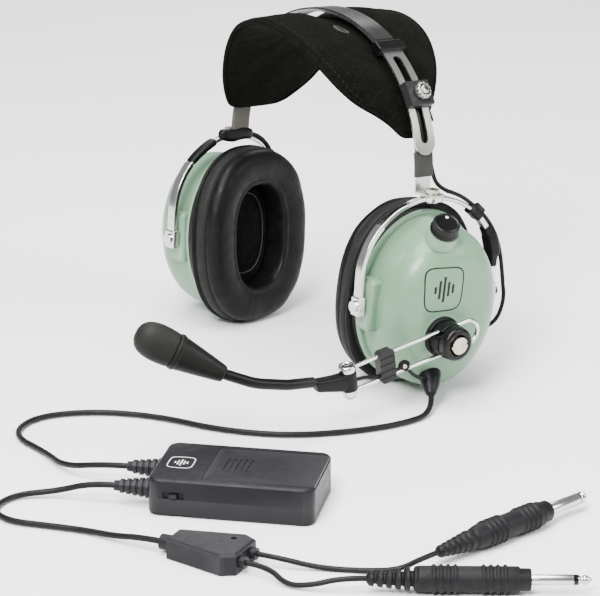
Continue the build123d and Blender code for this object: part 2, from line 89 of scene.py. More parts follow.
# ------------------------------------------------------------ materials
class Shader:
    """A Principled material built up in steps; coordinates are the part's own, in metres."""

    def __init__(self, name, rough=0.4, metallic=0.0, **constants):
        self.mat = bpy.data.materials.new(name)
        self.mat.use_nodes = True
        self.tree = self.mat.node_tree
        self.bsdf = next(n for n in self.tree.nodes if n.type == "BSDF_PRINCIPLED")
        self.bsdf.inputs["Metallic"].default_value = metallic
        self.bsdf.inputs["Roughness"].default_value = rough
        for key, value in constants.items():
            self.bsdf.inputs[key.replace("_", " ")].default_value = value
        self.coords = self.tree.nodes.new("ShaderNodeTexCoord").outputs["Object"]
        self.colour = None
        self.normal = None

    def node(self, kind, **values):
        n = self.tree.nodes.new(kind)
        for key, value in values.items():
            setattr(n, key, value)
        return n

    def link(self, a, b):
        self.tree.links.new(a, b)

    def noise(self, size, detail=3.0, rough=0.55, stretch=None, distort=0.0):
        n = self.node("ShaderNodeTexNoise")
        n.inputs["Scale"].default_value = 1000.0 / size
        n.inputs["Detail"].default_value = detail
        n.inputs["Roughness"].default_value = rough
        n.inputs["Distortion"].default_value = distort
        source = self.coords
        if stretch:
            m = self.node("ShaderNodeMapping")
            m.inputs["Scale"].default_value = stretch
            self.link(self.coords, m.inputs["Vector"])
            source = m.outputs["Vector"]
        self.link(source, n.inputs["Vector"])
        return n.outputs["Fac"]

    def cells(self, size, feature="F1"):
        n = self.node("ShaderNodeTexVoronoi", feature=feature)
        n.inputs["Scale"].default_value = 1000.0 / size
        self.link(self.coords, n.inputs["Vector"])
        return n.outputs["Distance"]

    def span(self, value, low, high, out_low=0.0, out_high=1.0):
        n = self.node("ShaderNodeMapRange")
        for key, v in (("From Min", low), ("From Max", high), ("To Min", out_low), ("To Max", out_high)):
            n.inputs[key].default_value = v
        self.link(value, n.inputs["Value"])
        return n.outputs["Result"]

    def blend(self, factor, a, b):
        n = self.node("ShaderNodeMix", data_type="RGBA")
        for slot, v in (("A", a), ("B", b)):
            sockets = [s for s in n.inputs if s.name == slot and s.type == "RGBA"]
            if isinstance(v, tuple):
                sockets[0].default_value = (*v, 1.0)
            else:
                self.link(v, sockets[0])
        self.link(factor, n.inputs[0])
        self.colour = next(s for s in n.outputs if s.type == "RGBA")
        return self

    def vary(self, a, b, size, low=0.35, high=0.65, detail=4.0, stretch=None):
        return self.blend(self.span(self.noise(size, detail, stretch=stretch), low, high), a, b)

    def over(self, factor, colour):
        return self.blend(factor, self.colour, colour)

    def worn(self, colour, low=0.52, high=0.6, strength=0.6):
        point = self.node("ShaderNodeNewGeometry").outputs["Pointiness"]
        return self.over(self.span(point, low, high, 0.0, strength), colour)

    def gloss(self, factor, low, high):
        self.link(self.span(factor, 0.3, 0.7, low, high), self.bsdf.inputs["Roughness"])
        return self

    def bump(self, height, depth, strength=1.0):
        n = self.node("ShaderNodeBump")
        n.inputs["Strength"].default_value = strength
        n.inputs["Distance"].default_value = depth * MM
        self.link(height, n.inputs["Height"])
        if self.normal is not None:
            self.link(self.normal, n.inputs["Normal"])
        self.normal = n.outputs["Normal"]
        return self

    def done(self):
        self.link(self.colour, self.bsdf.inputs["Base Color"])
        if self.normal is not None:
            self.link(self.normal, self.bsdf.inputs["Normal"])
        return self.mat


def sage():
    s = Shader("sage_enamel", Coat_Weight=0.14, Coat_Roughness=0.16, Specular_IOR_Level=0.34)
    s.vary((0.112, 0.208, 0.128), (0.128, 0.230, 0.144), 26)
    s.over(s.span(s.noise(1.4, 2), 0.60, 0.74, 0, 0.30), (0.105, 0.185, 0.115))
    s.worn((0.24, 0.34, 0.25), 0.515, 0.56, 0.5)
    s.gloss(s.noise(9, 5), 0.26, 0.40)
    return s.bump(s.noise(0.9, 3), 0.012).bump(s.noise(14, 2), 0.05).done()


def moulded(name, colour, lift, rough, grain, depth, coat=0.0, wear=(0.16, 0.16, 0.16)):
    s = Shader(name, Coat_Weight=coat, Coat_Roughness=0.2, Specular_IOR_Level=0.14)
    s.vary(colour, lift, 12)
    s.over(s.span(s.noise(2.2, 4), 0.60, 0.72, 0, 0.25), tuple(c * 1.9 for c in lift))
    s.worn(wear, 0.53, 0.62, 0.45)
    s.gloss(s.noise(5, 5), rough - 0.07, rough + 0.09)
    return s.bump(s.noise(grain, 4, 0.7), depth).done()


def metal(name, colour, tarnish, rough, lines=(1, 1, 14), depth=0.006):
    s = Shader(name, metallic=1.0)
    s.vary(colour, tarnish, 16, 0.42, 0.72)
    s.over(s.span(s.noise(3.2, 5, 0.7), 0.62, 0.75, 0, 0.45), tuple(c * 0.55 for c in tarnish))
    s.gloss(s.noise(0.8, 4, stretch=lines), rough - 0.06, rough + 0.12)
    return s.bump(s.noise(0.35, 3, stretch=lines), depth).done()


def rubber(name, colour, lift, rough=0.5):
    s = Shader(name, Specular_IOR_Level=0.13)
    s.vary(colour, lift, 7)
    s.over(s.span(s.noise(1.6, 5), 0.58, 0.72, 0, 0.4), tuple(c * 2.0 for c in lift))
    s.gloss(s.noise(3, 4), rough - 0.08, rough + 0.1)
    return s.bump(s.noise(0.5, 4, 0.7), 0.02).bump(s.noise(3.5, 2), 0.04).done()


def pad_cloth():
    s = Shader("pad_velour", rough=0.95, Sheen_Weight=0.012, Sheen_Roughness=0.45, Specular_IOR_Level=0.03)
    s.bsdf.inputs["Sheen Tint"].default_value = (0.36, 0.37, 0.31, 1)
    s.vary((0.0017, 0.0019, 0.0014), (0.0034, 0.0036, 0.0026), 15)
    s.over(s.span(s.noise(1.15, 5, 0.8), 0.53, 0.68, 0, 0.85), (0.0135, 0.0130, 0.0092))
    s.over(s.span(s.noise(0.55, 3, 0.8), 0.60, 0.75, 0, 0.5), (0.019, 0.019, 0.0145))
    s.bump(s.noise(1.0, 6, 0.85), 0.32).bump(s.cells(0.75), 0.16).bump(s.noise(7, 3), 0.5)
    return s.done()


def foam_cloth():
    s = Shader("foam_cloth", rough=0.95, Sheen_Weight=0.01, Specular_IOR_Level=0.04)
    s.vary((0.0020, 0.0023, 0.0020), (0.0045, 0.0050, 0.0043), 3)
    s.over(s.span(s.cells(0.9), 0.05, 0.35, 0.7, 0), (0.0008, 0.0008, 0.0008))
    return s.bump(s.cells(1.1), 0.35).bump(s.noise(0.5, 4), 0.12).done()


def seal_skin():
    s = Shader("seal_vinyl", Specular_IOR_Level=0.13)
    s.vary((0.0018, 0.0023, 0.0019), (0.0036, 0.0043, 0.0037), 10)
    s.over(s.span(s.noise(1.5, 5), 0.6, 0.75, 0, 0.5), (0.008, 0.009, 0.008))
    s.gloss(s.noise(6, 4), 0.36, 0.56)
    s.bump(s.cells(0.85), 0.05).bump(s.noise(0.45, 3), 0.03).bump(s.noise(5.5, 3), 0.22)
    return s.done()


def seal_band():
    s = Shader("seal_band", Specular_IOR_Level=0.12)
    s.vary((0.0090, 0.0095, 0.0088), (0.0130, 0.0135, 0.0125), 9)
    s.over(s.span(s.noise(1.0, 4), 0.6, 0.75, 0, 0.5), (0.020, 0.0205, 0.019))
    s.gloss(s.noise(4, 4), 0.5, 0.68)
    return s.bump(s.cells(0.8), 0.06).bump(s.noise(3, 3), 0.12).done()


SAGE = sage()
SEAL, BAND, FOAM, VELOUR = seal_skin(), seal_band(), foam_cloth(), pad_cloth()
BLACK = moulded("black_nylon", (0.0016, 0.0017, 0.0016), (0.0032, 0.0033, 0.0031), 0.36, 0.7, 0.02,
                wear=(0.03, 0.03, 0.03))
GLOSS = moulded("gloss_black", (0.0014, 0.0014, 0.0014), (0.0026, 0.0026, 0.0026), 0.2, 2.5, 0.008, coat=0.16,
                wear=(0.03, 0.03, 0.03))
KNOB = moulded("knob_black", (0.0014, 0.0016, 0.0014), (0.0026, 0.0030, 0.0027), 0.26, 0.9, 0.012, coat=0.12,
               wear=(0.02, 0.02, 0.02))
CASE = moulded("case_plastic", (0.0075, 0.0073, 0.0088), (0.0100, 0.0098, 0.0116), 0.42, 0.55, 0.035,
               wear=(0.04, 0.04, 0.043))
BOOM_BLACK = moulded("boom_plastic", (0.0075, 0.0083, 0.0068), (0.0115, 0.0122, 0.0102), 0.56, 0.6, 0.05,
                     wear=(0.03, 0.03, 0.027))
BOOT_BLACK = moulded("boot_plastic", (0.0034, 0.0038, 0.0031), (0.0056, 0.0060, 0.0050), 0.46, 0.6, 0.04,
                     wear=(0.02, 0.02, 0.018))
GREY = moulded("grey_sleeve", (0.026, 0.025, 0.024), (0.033, 0.032, 0.031), 0.48, 0.8, 0.02, wear=(0.09, 0.09, 0.09))
TAN = moulded("grey_brown_sleeve", (0.060, 0.055, 0.050), (0.074, 0.068, 0.062), 0.48, 0.8, 0.02, wear=(0.16, 0.16, 0.16))
CHROME = metal("chrome_plate", (0.66, 0.66, 0.65), (0.52, 0.52, 0.50), 0.16)
STEEL = metal("brushed_steel", (0.56, 0.56, 0.54), (0.43, 0.43, 0.41), 0.27, lines=(1, 20, 1))


def shaded_strap():
    """Steel with painted shade: darkened above the sleeve so that the outer strap's slots read dark."""
    s = Shader("shaded_strap", metallic=1.0, rough=0.3)
    s.vary((0.56, 0.56, 0.54), (0.43, 0.43, 0.41), 16, 0.42, 0.72)
    split = s.node("ShaderNodeSeparateXYZ")
    s.link(s.coords, split.inputs[0])
    # painted shade: the steel turns near black above about 135 mm of the part's own height, where the outer strap's
    # slots lie
    s.over(s.span(split.outputs["Z"], 0.1345, 0.1375), (0.022, 0.021, 0.019))
    s.gloss(s.noise(0.8, 4, stretch=(1, 20, 1)), 0.24, 0.38)
    return s.bump(s.noise(0.35, 3, stretch=(1, 20, 1)), 0.006).done()


INNER = shaded_strap()
BRASS = metal("nickel_brass", (0.58, 0.53, 0.44), (0.42, 0.35, 0.26), 0.22)
CORD = rubber("cord_jacket", (0.0045, 0.0045, 0.0051), (0.0072, 0.0072, 0.0079), 0.42)
PLUG = rubber("plug_rubber", (0.0058, 0.0056, 0.0064), (0.0088, 0.0086, 0.0095), 0.50)
PRINT_DARK = moulded("print_dark", (0.0035, 0.0055, 0.0040), (0.0060, 0.0085, 0.0065), 0.35, 1.2, 0.004,
                     wear=(0.01, 0.012, 0.01))
PRINT_LIGHT = moulded("print_light", (0.60, 0.62, 0.62), (0.74, 0.75, 0.75), 0.4, 1.2, 0.004, wear=(0.5, 0.5, 0.5))
BINDING = rubber("edge_binding", (0.0026, 0.0027, 0.0022), (0.0050, 0.0050, 0.0040), 0.82)
CELL = moulded("cell_jacket", (0.03, 0.10, 0.14), (0.04, 0.13, 0.18), 0.3, 2.0, 0.004)

LOOKS = {
    SAGE: "left_dome_shell right_dome_shell",
    BLACK: "left_baffle_plate right_baffle_plate left_clamp_block right_clamp_block left_keeper right_keeper "
           "left_yoke_sleeve right_yoke_sleeve left_cable_clip boom_slider_clip boom_pivot_hub power_switch "
           "left_speaker_driver right_speaker_driver main_strain_relief mic_bracket gooseneck mic_boot mic_head",
    GLOSS: "crown_cover",
    KNOB: "boom_clamp_knob volume_knob",
    CASE: "box_lower_shell box_upper_shell battery_door cable_splitter box_relief_lower box_relief_upper",
    GREY: "left_strap_sleeve",
    TAN: "right_strap_sleeve",
    CHROME: "left_yoke right_yoke boom_wires mic_bracket_screw left_clamp_nut right_clamp_nut",
    STEEL: "slotted_head_strap",
    INNER: "left_inner_strap right_inner_strap",
    BRASS: "left_swivel_screw right_swivel_screw boom_pivot_screw",
    CELL: "battery_cell_one battery_cell_two",
    PLUG: "plug_phones_handle plug_microphone_handle",
    CORD: "main_cable second_cable phones_lead microphone_lead left_crossover_cable",
}
for look, names in LOOKS.items():
    for name in names.split():
        data = NODES[name].data
        data.materials.clear()
        data.materials.append(look)


# ------------------------------------------------------------ mesh helpers
def build(name, verts, faces, mats, marks=None, levels=0):
    me = bpy.data.meshes.new(name)
    me.from_pydata([tuple(v) for v in verts], [], faces)
    for m in mats if isinstance(mats, (list, tuple)) else [mats]:
        me.materials.append(m)
    if marks:
        for p, k in zip(me.polygons, marks):
            p.material_index = k
    bm = bmesh.new()
    bm.from_mesh(me)
    bmesh.ops.recalc_face_normals(bm, faces=bm.faces)
    bm.to_mesh(me)
    bm.free()
    for p in me.polygons:
        p.use_smooth = True
    ob = bpy.data.objects.new(name, me)
    bpy.context.scene.collection.objects.link(ob)
    if levels:
        sub = ob.modifiers.new("round", "SUBSURF")
        sub.levels = sub.render_levels = levels
    return ob


def skin(name, rings, mats, closed=False, marks=None, levels=0):
    """Skins closed rings of points that follow one another."""
    n = len(rings[0])
    verts = [p for ring in rings for p in ring]
    faces, kinds = [], []
    for i in range(len(rings) if closed else len(rings) - 1):
        a, b = i * n, (i + 1) % len(rings) * n
        for j in range(n):
            k = (j + 1) % n
            faces.append((a + j, a + k, b + k, b + j))
            kinds.append(marks[i][j] if marks else 0)
    if not closed:
        faces += [tuple(range(n)), tuple(range(len(verts) - n, len(verts)))]
        kinds += [0, 0]
    return build(name, verts, faces, mats, kinds, levels)


def lathe(name, place, profile, mats, sides=48, flutes=0, levels=0):
    """A turned piece about +Z of place. The profile holds (radius, height, cut depth of its flutes, material)."""
    rings, marks = [], []
    for row in profile:
        r, z, cut, kind = (*row, 0, 0)[:4] if len(row) < 4 else row
        ring = []
        for j in range(sides):
            t = 2 * math.pi * j / sides
            q = r - cut * (0.5 + 0.5 * math.cos(flutes * t)) if flutes else r
            ring.append(spot(place, q * math.cos(t), q * math.sin(t), z))
        rings.append(ring)
        marks.append([kind] * sides)
    return skin(name, rings, mats, marks=marks, levels=levels)


def curve(name, points, diameter, mat):
    data = bpy.data.curves.new(name, "CURVE")
    data.dimensions = "3D"
    spline = data.splines.new("NURBS")
    spline.points.add(len(points) - 1)
    for p, q in zip(spline.points, points):
        p.co = (*q, 1.0)
    spline.order_u = 3
    spline.use_endpoint_u = True
    spline.resolution_u = 14
    data.resolution_u = data.render_resolution_u = 14
    data.bevel_depth = diameter / 2
    data.bevel_resolution = 5
    data.use_fill_caps = True
    data.materials.append(mat)
    ob = bpy.data.objects.new(name, data)
    bpy.context.scene.collection.objects.link(ob)
    return ob


def line_of(ob):
    """The points that the curve's own spline passes through, read with no bevel."""
    depth, ob.data.bevel_depth = ob.data.bevel_depth, 0.0
    bpy.context.view_layer.update()
    flat = bpy.data.meshes.new_from_object(ob.evaluated_get(bpy.context.evaluated_depsgraph_get()))
    ob.data.bevel_depth = depth
    return [v.co.copy() for v in flat.vertices]


def hose(name, points, diameter, mat):
    """A mesh tube on a NURBS spline, and the spline's points."""
    ob = curve(name + "_line", points, diameter, mat)
    path = line_of(ob)
    bpy.context.view_layer.update()
    me = bpy.data.meshes.new_from_object(ob.evaluated_get(bpy.context.evaluated_depsgraph_get()))
    tube = bpy.data.objects.new(name, me)
    bpy.context.scene.collection.objects.link(tube)
    bpy.data.objects.remove(ob)
    for p in me.polygons:
        p.use_smooth = True
    return tube, path


def tree_of(ob):
    dg = bpy.context.evaluated_depsgraph_get()
    me = ob.evaluated_get(dg).to_mesh()
    m = ob.matrix_world
    return BVHTree.FromPolygons([m @ v.co for v in me.vertices], [tuple(p.vertices) for p in me.polygons])


def printed(name, tree, place, strokes, mat, lift=0.09):
    """Raised print: each stroke is (points on the place's plane, width, closed), dropped along -Z onto the tree."""
    down = -(place.to_3x3() @ Vector((0, 0, 1))).normalized()
    verts, faces = [], []
    for pts, width, closed in strokes:
        count, base = len(pts), len(verts)
        for i, (x, y) in enumerate(pts):
            a = pts[i - 1] if i or closed else pts[i]
            b = pts[(i + 1) % count] if i < count - 1 or closed else pts[i]
            d = Vector((b[0] - a[0], b[1] - a[1])).normalized()
            for s in (1, -1):
                o = spot(place, x - s * d.y * width / 2, y + s * d.x * width / 2, 0)
                hit, normal, _, _ = tree.ray_cast(o, down)
                verts += [hit + normal * lift * MM, hit - normal * 0.15 * MM]
        for i in range(count if closed else count - 1):
            p, q = base + 4 * i, base + 4 * ((i + 1) % count)
            faces += [(p, p + 2, q + 2, q), (p + 1, q + 1, q + 3, p + 3), (p, q, q + 1, p + 1),
                      (p + 2, p + 3, q + 3, q + 2)]
        if not closed:
            e = base + 4 * (count - 1)
            faces += [(base, base + 1, base + 3, base + 2), (e, e + 2, e + 3, e + 1)]
    return build(name, verts, faces, mat)


def squircle(w, h, power=3.2, n=72):
    out = []
    for k in range(n):
        t = 2 * math.pi * k / n
        c, s = math.cos(t), math.sin(t)
        out.append((w * math.copysign(abs(c) ** (2 / power), c), h * math.copysign(abs(s) ** (2 / power), s)))
    return out


def between(a, b, n=9):
    return [(a[0] + (b[0] - a[0]) * k / (n - 1), a[1] + (b[1] - a[1]) * k / (n - 1)) for k in range(n)]


def swell(ob, voxel, pressure, cap, held):
    """Remeshes a padded piece, lets its cover fill out as cloth under pressure, and keeps the result."""
    scene = bpy.context.scene
    bpy.context.view_layer.objects.active = ob
    ob.select_set(True)
    remesh = ob.modifiers.new("Remesh", "REMESH")
    remesh.mode, remesh.voxel_size = "VOXEL", voxel * MM
    bpy.ops.object.modifier_apply(modifier="Remesh")
    me = ob.data
    rest = np.array([v.co for v in me.vertices], float)
    group = ob.vertex_groups.new(name="held")
    for v in me.vertices:
        w = held(v.co)
        if w > 0:
            group.add([v.index], w, "REPLACE")
    cloth = ob.modifiers.new("Cloth", "CLOTH")
    cloth.collision_settings.use_collision = False
    st = cloth.settings
    st.quality, st.mass = 5, 0.3
    st.tension_stiffness = st.compression_stiffness = 12
    st.shear_stiffness, st.bending_stiffness = 5, 0.4
    st.use_pressure, st.uniform_pressure_force = True, pressure
    st.effector_weights.gravity = 0
    st.vertex_group_mass = "held"
    for f in range(1, 21):
        scene.frame_set(f)
    out = ob.evaluated_get(bpy.context.evaluated_depsgraph_get()).data
    moved = np.array([v.co for v in out.vertices], float) - rest
    scene.frame_set(1)
    ob.modifiers.remove(cloth)
    far = np.linalg.norm(moved, axis=1, keepdims=True)
    rest += moved * np.minimum(1.0, cap * MM / np.maximum(far, 1e-9))
    me.vertices.foreach_set("co", rest.ravel())
    me.update()
    for p in me.polygons:
        p.use_smooth = True
    return ob


def ruffle(ob, rows, keep=None):
    """Moves the vertices along their normals by smooth noise: rows of (size, height)."""
    me = ob.data
    normals = [v.normal.copy() for v in me.vertices]
    for v, n in zip(me.vertices, normals):
        d = sum(h * noise.noise(v.co * (1000.0 / size)) for size, h in rows)
        v.co += n * d * MM * (keep(v.co) if keep else 1.0)
    me.update()


# ------------------------------------------------------------ camera, light and floor
camera = bpy.data.objects.new("camera", bpy.data.cameras.new("camera"))
bpy.context.scene.collection.objects.link(camera)
camera.data.sensor_width, camera.data.lens = 36.0, 160.03
camera.data.clip_end = 20
camera.location = (1.1509, -0.9819, 0.5217)
aim = Vector((-0.0147, -0.0038, 0.0273)) - camera.location
camera.rotation_euler = aim.to_track_quat("-Z", "Y").to_euler()
bpy.context.scene.camera = camera

world = bpy.data.worlds.new("studio")
world.use_nodes = True
back = next(n for n in world.node_tree.nodes if n.type == "BACKGROUND")
back.inputs["Color"].default_value = (0.96, 0.98, 1.0, 1)
seen = world.node_tree.nodes.new("ShaderNodeLightPath")
level = world.node_tree.nodes.new("ShaderNodeMapRange")
level.inputs["To Min"].default_value, level.inputs["To Max"].default_value = 0.42, 0.95
world.node_tree.links.new(seen.outputs["Is Camera Ray"], level.inputs["Value"])
world.node_tree.links.new(level.outputs["Result"], back.inputs["Strength"])
bpy.context.scene.world = world


def softbox(name, azimuth, elevation, distance, size, watts):
    lamp = bpy.data.lights.new(name, "AREA")
    lamp.shape, lamp.size, lamp.energy = "DISK", size, watts
    ob = bpy.data.objects.new(name, lamp)
    bpy.context.scene.collection.objects.link(ob)
    a, e = math.radians(azimuth), math.radians(elevation)
    ob.location = Vector((math.sin(a) * math.cos(e), -math.cos(a) * math.cos(e), math.sin(e))) * distance + Vector((0.03,
                                                                                                                    -0.05,
                                                                                                                    0.09))
    ob.rotation_euler = (Vector((0.03, -0.05, 0.09)) - ob.location).to_track_quat("-Z", "Y").to_euler()


softbox("key", 30, 40, 1.8, 0.7, 60)
softbox("side", 118, 30, 1.8, 1.0, 26)
softbox("top", 15, 78, 1.9, 1.6, 95)
softbox("back", 230, 42, 1.8, 1.0, 13)

floor = build("floor", [(-4, -4, 0), (4, -4, 0), (4, 4, 0), (-4, 4, 0)], [(0, 1, 2, 3)], [])
paper = Shader("paper", rough=0.85, Specular_IOR_Level=0.15)
paper.vary((0.86, 0.86, 0.86), (0.89, 0.89, 0.89), 320).bump(paper.noise(2.5, 3), 0.02)
floor.data.materials.append(paper.done())


def fit(ob, body, node=None):
    """Says which body a piece rides on, and the CAD node that it stands for."""
    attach(ob, body)
    if node:
        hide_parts(node)


# ------------------------------------------------------------ free cords
def world_points(*rows):
    return [spot(row[0], *row[1:]) if isinstance(row[0], Matrix) else Vector(row) * MM for row in rows]


MAIN = world_points(
    (123, -23.5, 8.5), (132.1, -30.8, 2.2), (134, -54, 2.1), (125, -84, 2.1), (107, -115, 2.1), (76, -138, 2.1),
    (39, -150, 2.1), (9, -172, 2.1), (-6, -203, 2.1), (9, -229, 2.1), (44, -230, 2.1), (70, -237, 4.0),
    (BOX, -76, 13.5, 9.5), (BOX, -63, 13.5, 9.5))
SECOND = world_points(
    (BOX, -63, -13.5, 9.5), (BOX, -76, -13.5, 9.5), (96, -258.5, 4.0), (82, -277, 2.1), (90, -296, 2.1),
    (108, -299, 2.1), (126, -287, 2.1), (144, -275.5, 2.1), (160, -270.5, 3.0), (SPLIT, -38, 0, 5.5),
                      (SPLIT, -26, 0, 5.5))
PHONES = world_points(
    (SPLIT, 23, 6, 5.5), (SPLIT, 35, 6, 5.5), (252.5, -216, 1.5), (270, -200.5, 1.5), (283.0, -191.5, 4.0),
    (PLUG_A, -12, 0, 0), (PLUG_A, 0, 0, 0))
MICROPHONE = world_points(
    (SPLIT, 23, -6, 5.5), (SPLIT, 35, -6, 5.5), (258, -241, 1.5), (269, -234, 3.4), (PLUG_B, -12, 0, 0),
                          (PLUG_B, 0, 0, 0))

main, main_path = hose("headset_cable", MAIN, 3.2 * MM, CORD)
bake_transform(main)
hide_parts("main_cable")

cords = {}
for name, node, points, diameter, length, end, pieces in (
        ("box_output_cable", "second_cable", SECOND, 3.2, 0.1761, "fitting", ["cable_splitter"]),
        ("phones_plug_lead", "phones_lead", PHONES, 2.8, 0.0981, "plug", []),
        ("microphone_plug_lead", "microphone_lead", MICROPHONE, 2.8, 0.0655, "plug", [])):
    ob = curve(name, points, diameter * MM, CORD)
    fit(ob, "left_yoke", node)
    cords[name] = (ob, points, diameter, length, end, pieces)


# ------------------------------------------------------------ plugs
def ribbed(start, groups, low, high, end, pitch=3.4):
    """A grip's profile along its length, with raised rings at each group's start."""
    rows, z = [(low, start)], start
    for g in groups:
        rows.append((low, g - 0.6))
        for k in range(4):
            z = g + pitch * k
            rows += [(low, z), (high, z + 0.45), (high + 0.1, z + 1.0), (high, z + 1.55), (low, z + 2.0)]
        rows.append((low, z + 2.6))
    return rows + [(low, end)]


LIE = turn("Y", 90)     # turns a lathe's +Z to a frame's +X
handle_a = [(1.4, -0.4), (2.5, 0.0)]
for k in range(6):
    z, r = 0.6 + 3.6 * k, 2.75 + 0.42 * k
    handle_a += [(r, z), (r + 0.42, z + 0.5), (r + 0.46, z + 1.3), (r + 0.42, z + 2.1), (r, z + 2.6), (r - 0.05, z + 3.1)]
handle_a += [(5.0, 22.6), (5.6, 25.0), (6.1, 27.2)] + ribbed(28, (31.5, 55.5), 6.25, 7.0, 71.0)
handle_a += [(6.2, 71.3), (5.5, 71.9), (5.45, 76.6), (5.0, 77.4), (2.4, 77.5)]
handle_b = [(1.4, -0.4), (2.4, 0.0)]
for k in range(5):
    z, r = 0.4 + 4.3 * k, 3.4 + 0.5 * k
    handle_b += [(r - 0.9, z), (r, z + 0.3), (r + 0.4, z + 2.2), (r + 0.35, z + 2.7), (2.6 + 0.3 * k, z + 3.0),
                 (2.6 + 0.3 * k, z + 4.0)]
handle_b += [(4.2, 21.9), (5.9, 22.4), (6.15, 24.0)] + ribbed(25, (30.5, 54.0), 6.3, 7.0, 71.5)
handle_b += [(6.1, 71.8), (5.4, 72.2), (5.35, 76.8), (5.0, 77.4), (2.2, 77.5)]
finger_a = [(1.4, 71, 0, 0), (3.175, 76.5, 0, 0), (3.175, 99.4, 0, 0), (3.05, 99.6, 0, 1), (3.05, 100.3, 0, 1),
            (2.45, 100.5, 0, 0),
            (2.05, 101.3, 0, 0), (2.35, 102.0, 0, 0), (3.0, 102.6, 0, 0), (3.1, 103.2, 0, 0), (2.5, 104.4, 0, 0),
            (1.4, 105.5, 0, 0), (0.5, 106.0, 0, 0)]
finger_b = [(1.4, 71, 0, 0), (2.615, 76.5, 0, 0), (2.615, 97.4, 0, 1), (2.55, 97.6, 0, 1), (2.55, 99.6, 0, 0),
            (2.2, 99.9, 0, 0),
            (1.7, 100.8, 0, 0), (1.9, 101.6, 0, 0), (2.45, 102.3, 0, 0), (2.5, 103.0, 0, 0), (1.7, 104.4, 0, 1),
            (1.6, 104.6, 0, 0), (1.0, 105.6, 0, 0), (0.4, 106.0, 0, 0)]
for tag, place, grip, finger in (("phones", PLUG_A, handle_a, finger_a), ("microphone", PLUG_B, handle_b, finger_b)):
    split = next(i for i, row in enumerate(grip) if row[1] > 22.5)
    boot = lathe(f"{tag}_plug_boot", place @ LIE, grip[:split + 1], PLUG, 56)
    body = lathe(f"{tag}_plug_grip", place @ LIE, grip[split:], PLUG, 56)
    tip = lathe(f"{tag}_plug_contact", place @ LIE, finger, [CHROME, GLOSS], 40)
    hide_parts(f"plug_{tag}_handle")
    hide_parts(f"plug_{tag}_finger")
    for ob in (boot, body, tip):
        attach(ob, "left_yoke")
for name, (ob, points, diameter, length, end, pieces) in cords.items():
    tag = name.split("_")[0]


# ------------------------------------------------------------ crossover cable
def up(x, y, z):
    return spot(LEAN, x, y, z)


def by_arm(angle, off, x=0.0):
    t = math.radians(angle)
    ny, nz = math.cos(t) / 46.0, math.sin(t) / 42.2
    m = math.hypot(ny, nz)
    return spot(YOKE, x, 46.0 * math.cos(t) + off * ny / m, 15.0 + 42.2 * math.sin(t) + off * nz / m)


THIN = 2.4
CROSS = [up(86.6, 15.4, 114.6), up(90.4, 21.0, 113.4), by_arm(50, 3.0), by_arm(36, 3.9, 0.3),
         by_arm(20, 5.2, 0.6), by_arm(3, 6.0, 2.0), spot(YOKE, 5.2, 52.2, 2.0)]
cross = curve("crossover_cable", CROSS, THIN * MM, CORD)
fit(cross, "left_yoke", "left_crossover_cable")

COLLAR = spot(CUP, 3.8, 38.6, -20.6)
tail, tail_path = hose("crossover_tail", [CROSS[-1], spot(YOKE, 6.6, 52.8, -4.0), spot(CUP, 7.0, 50.2, -15.5),
                                          spot(CUP, 5.2, 45.0, -21.5), COLLAR, spot(CUP, 3.4, 34.5, -21.3)], THIN * MM,
                       CORD)
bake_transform(tail)

lead, _ = hose("crossover_lead", [up(80.6, 7.6, 129.0), up(81.5, 8.2, 124.5), up(83.2, 10.2, 118.5), CROSS[0],
                                  up(88.4, 18.2, 114.0)], THIN * MM, CORD)
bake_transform(lead)

# ------------------------------------------------------------ the far side: wrap and drop
wrap_rings = []
for k in range(13):
    t = -1 + 2 * k / 12
    grow = (1 - abs(t) ** 3.4) ** (1 / 3.4) if abs(t) < 1 else 0.12
    ring = []
    for c, s in squircle(1, 1, 3.0, 28):
        q = up(-83.4 + c * 3.9 * grow, -2.0 + 13.5 * t, 115.9 + s * 4.0 * grow + 0.5 * math.sin(5 * t))
        q += Vector((0, 0, 0.5 * MM * noise.noise(Vector((c * 2, t * 6, s * 2)))))
        ring.append(q)
    wrap_rings.append(ring)
wrap = skin("far_cable_wrap", wrap_rings, BLACK, levels=1)
fit(wrap, "right_yoke")
DROP = [up(-83.6, 9.5, 115.0), up(-83.4, 13.5, 114.2), up(-82.0, 17.5, 111.6), up(-80.8, 20.6, 108.2),
        up(-80.6, 23.0, 105.0),
        up(-81.5, 25.0, 101.5), up(-84.0, 26.4, 98.4)]
drop, _ = hose("far_cable_drop", DROP, 2.9 * MM, CORD)
fit(drop, "right_yoke")
grommet = lathe("far_cable_grommet", Matrix.Translation(DROP[-2]) @ (DROP[-1] - DROP[-3]).to_track_quat("Z",
                                                                                                        "Y").to_matrix().to_4x4(),
                [(1.3, -2.6), (2.1, -2.4), (2.5, -1.6), (2.9, -0.2), (3.6, 1.0), (3.8, 2.4), (3.0, 3.2), (1.4, 3.4)],
                BLACK, 28, levels=1)
fit(grommet, "right_cup")

